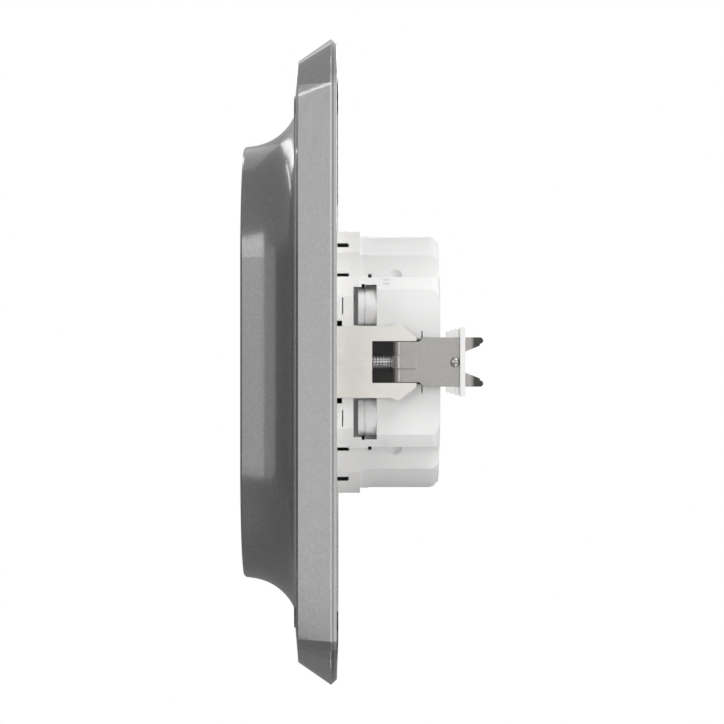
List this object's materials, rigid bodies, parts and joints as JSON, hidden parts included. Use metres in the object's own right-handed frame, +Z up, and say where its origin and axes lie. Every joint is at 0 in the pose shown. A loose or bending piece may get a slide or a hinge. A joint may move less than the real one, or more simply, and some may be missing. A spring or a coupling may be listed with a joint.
{
  "type": "double wall socket",
  "caption": "Double earthed wall socket insert: bevelled frame, flared oval front with round wells, round housing and spreading claws for a flush box.",
  "frame": {"origin": "centre of the two box screws, on the rear face of the support plate", "axes": "+Z up along the long side, -Y out of the front towards the room, +X to the right as seen from the room; the wall is y = 0"},
  "size_m": [0.088, 0.0533, 0.14],
  "materials": {
    "silver_paint": "fine metallic silver paint, satin gloss",
    "white_plastic": "moulded white plastic",
    "zinc_steel": "zinc plated, slightly warm",
    "bare_steel": "rolled spring steel",
    "brass": "stamped"
  },
  "bodies": {
    "socket": {"cover_frame": "silver_paint", "cover": "silver_paint", "cover_screws": "bare_steel", "support_plate": "zinc_steel", "contact_cover": "white_plastic", "base": "white_plastic", "assembly_screws": "bare_steel", "live_strip": "brass", "neutral_strip": "brass", "earth_strip": "brass", "live_clamp": "zinc_steel", "neutral_clamp": "zinc_steel", "earth_clamp": "zinc_steel", "live_terminal_screw": "zinc_steel", "neutral_terminal_screw": "zinc_steel", "earth_terminal_screw": "zinc_steel"},
    "right_claw_screw": {"right_claw_screw": "zinc_steel"},
    "left_claw_screw": {"left_claw_screw": "zinc_steel"},
    "right_claw": {"right_claw": "bare_steel", "right_claw_keeper": "white_plastic"},
    "left_claw": {"left_claw": "bare_steel", "left_claw_keeper": "white_plastic"}
  },
  "joints": [
    {"name": "right_claw_swing", "type": "hinge", "parent": "socket", "child": "right_claw", "pos_m": [0.0239, 0.0129, 0], "axis": [0, 0, -1], "range_deg": [0, 20]},
    {"name": "right_screw_turn", "type": "hinge", "parent": "socket", "child": "right_claw_screw", "pos_m": [0.0239, 0, 0], "axis": [0, 1, 0], "range_deg": [0, 1800]},
    {"name": "left_claw_swing", "type": "hinge", "parent": "socket", "child": "left_claw", "pos_m": [-0.0239, 0.0129, 0], "axis": [0, 0, 1], "range_deg": [0, 20]},
    {"name": "left_screw_turn", "type": "hinge", "parent": "socket", "child": "left_claw_screw", "pos_m": [-0.0239, 0, 0], "axis": [0, 1, 0], "range_deg": [0, 1800]}
  ],
  "couplings": [
    {"joint": "right_screw_turn", "follows": "right_claw_swing", "ratio": 90},
    {"joint": "left_screw_turn", "follows": "left_claw_swing", "ratio": 90}
  ]
}
